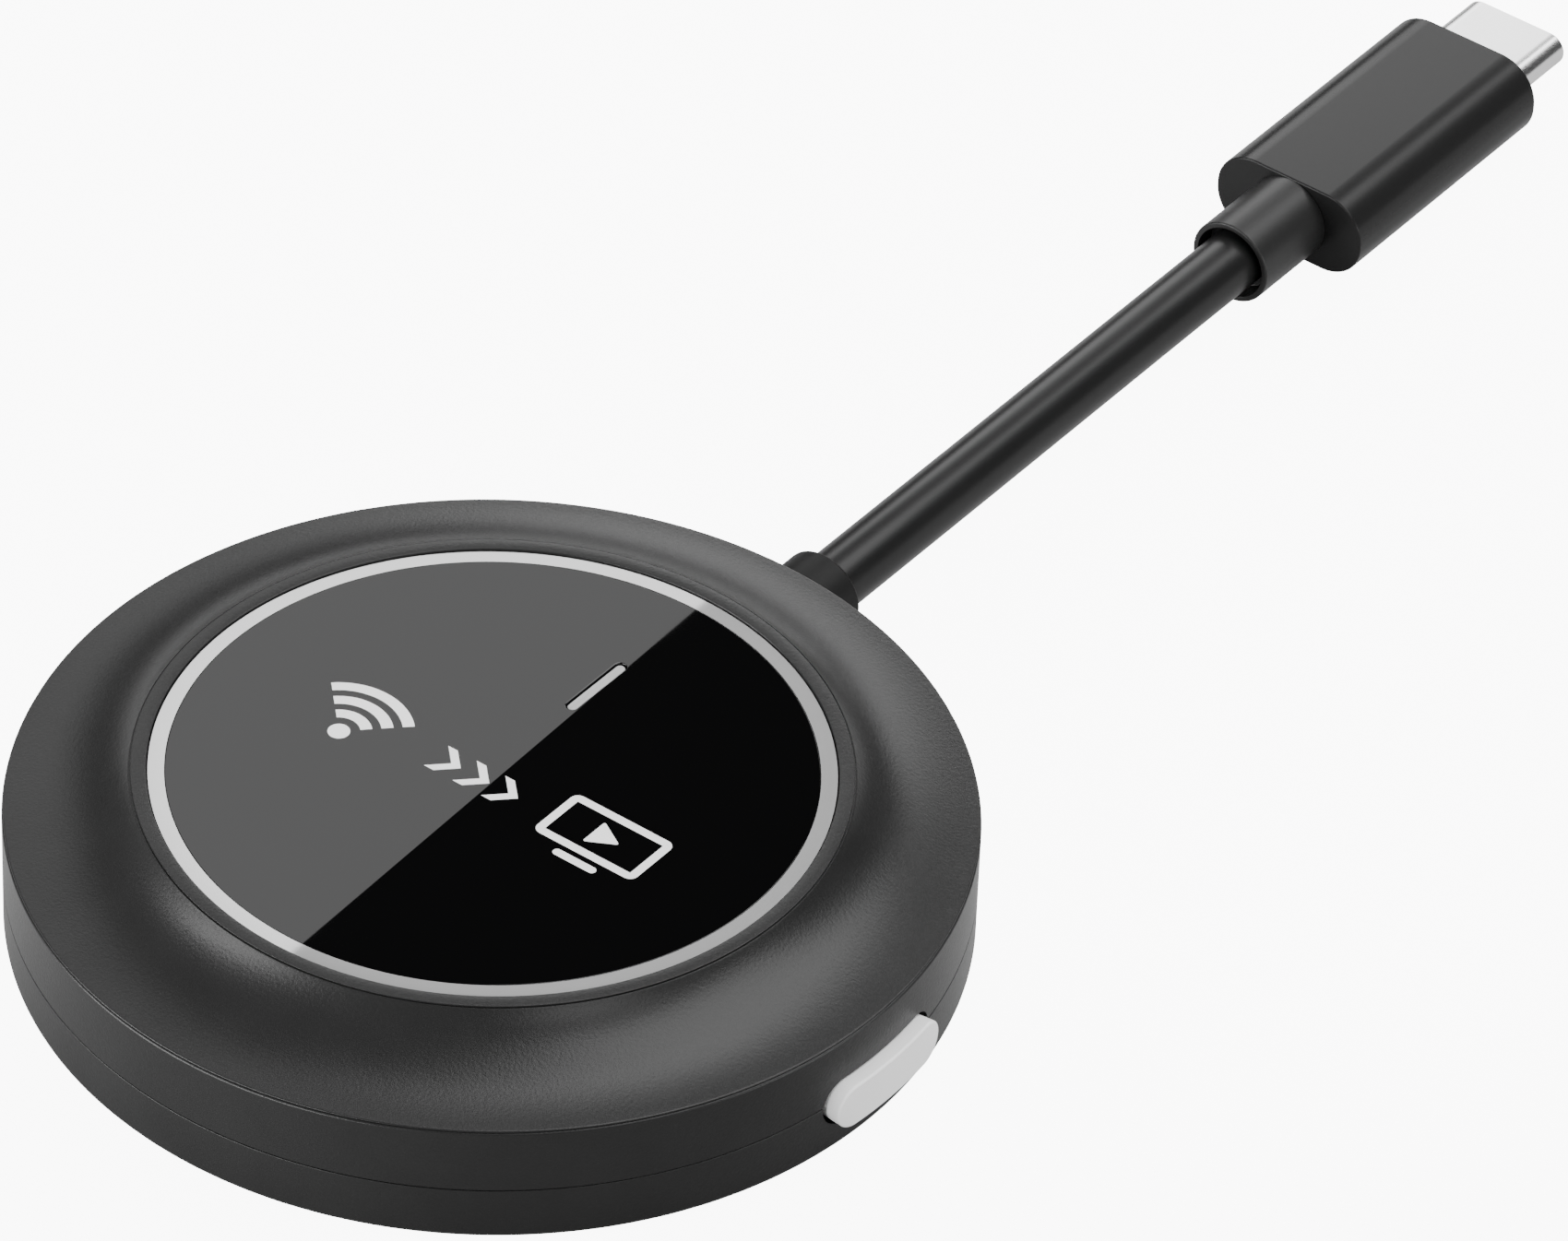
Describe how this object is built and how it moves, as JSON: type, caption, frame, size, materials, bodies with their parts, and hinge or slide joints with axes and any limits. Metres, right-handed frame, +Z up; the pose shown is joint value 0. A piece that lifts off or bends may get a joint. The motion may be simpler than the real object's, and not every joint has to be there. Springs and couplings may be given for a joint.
{
  "type": "streaming media player",
  "caption": "Round black streaming media player with a glossy window, a pale light ring, a grey side button and a short captive USB-C lead.",
  "frame": {"origin": "middle of the case's footprint, on the surface it stands on", "axes": "+Z up; the lead leaves along +Y; the button is on the +X side"},
  "size_m": [0.0642, 0.1511, 0.0124],
  "materials": {
    "cover_black": "fine matte grain",
    "case_black": "fine matte grain",
    "rubber_black": "matte",
    "window_black": "polished",
    "ring_white": "satin, translucent white",
    "light_clear": "satin, translucent",
    "board_green": "solder mask",
    "chip_black": "moulded",
    "pad_pink": "soft silicone",
    "ferrite_grey": "moulded ferrite",
    "tin_plate": "tin plated",
    "lamp_white": "moulded",
    "insert_black": "moulded nylon",
    "spreader_metal": "pressed",
    "screw_steel": "zinc plated",
    "button_grey": "fine matte",
    "cord_black": "satin",
    "plug_black": "satin",
    "shell_steel": "bright plated",
    "gold_contact": "gold plated"
  },
  "bodies": {
    "case": {"top_cover": "cover_black", "side_band": "case_black", "base_cover": "case_black", "rubber_foot": "rubber_black", "front_window": "window_black", "window_mask": "window_black", "light_ring": "ring_white", "status_light_pipe": "light_clear", "main_board": "board_green", "processor": "chip_black", "thermal_pad": "pad_pink", "memory_chip": "chip_black", "wireless_chip": "chip_black", "power_inductor": "ferrite_grey", "crystal": "tin_plate", "status_lamp": "lamp_white", "ring_lamp_1": "lamp_white", "ring_lamp_2": "lamp_white", "ring_lamp_3": "lamp_white", "ring_lamp_4": "lamp_white", "antenna_right": "tin_plate", "antenna_left": "tin_plate", "lead_header": "insert_black", "shield_can": "tin_plate", "heat_spreader": "spreader_metal", "case_screw_1": "screw_steel", "case_screw_2": "screw_steel", "case_screw_3": "screw_steel", "case_screw_4": "screw_steel", "switch_body": "chip_black", "strain_relief": "cord_black", "lead_cord": "cord_black", "inner_lead": "cord_black", "plug_sleeve": "plug_black", "plug_body": "plug_black", "plug_shell": "shell_steel", "plug_insert": "insert_black", "contact_row_upper": "gold_contact", "contact_row_lower": "gold_contact", "plug_board": "board_green"},
    "button": {"button_cap": "button_grey"},
    "plunger": {"switch_plunger": "tin_plate"}
  },
  "joints": [
    {"name": "button_press", "type": "slide", "parent": "case", "child": "button", "axis": [-1, 0, 0], "range_m": [0, 0.00045], "stiffness_N_per_m": 400},
    {"name": "plunger_press", "type": "slide", "parent": "case", "child": "plunger", "axis": [-1, 0, 0], "range_m": [0, 0.00045], "stiffness_N_per_m": 400}
  ],
  "couplings": [
    {"joint": "plunger_press", "follows": "button_press", "ratio": 1}
  ]
}
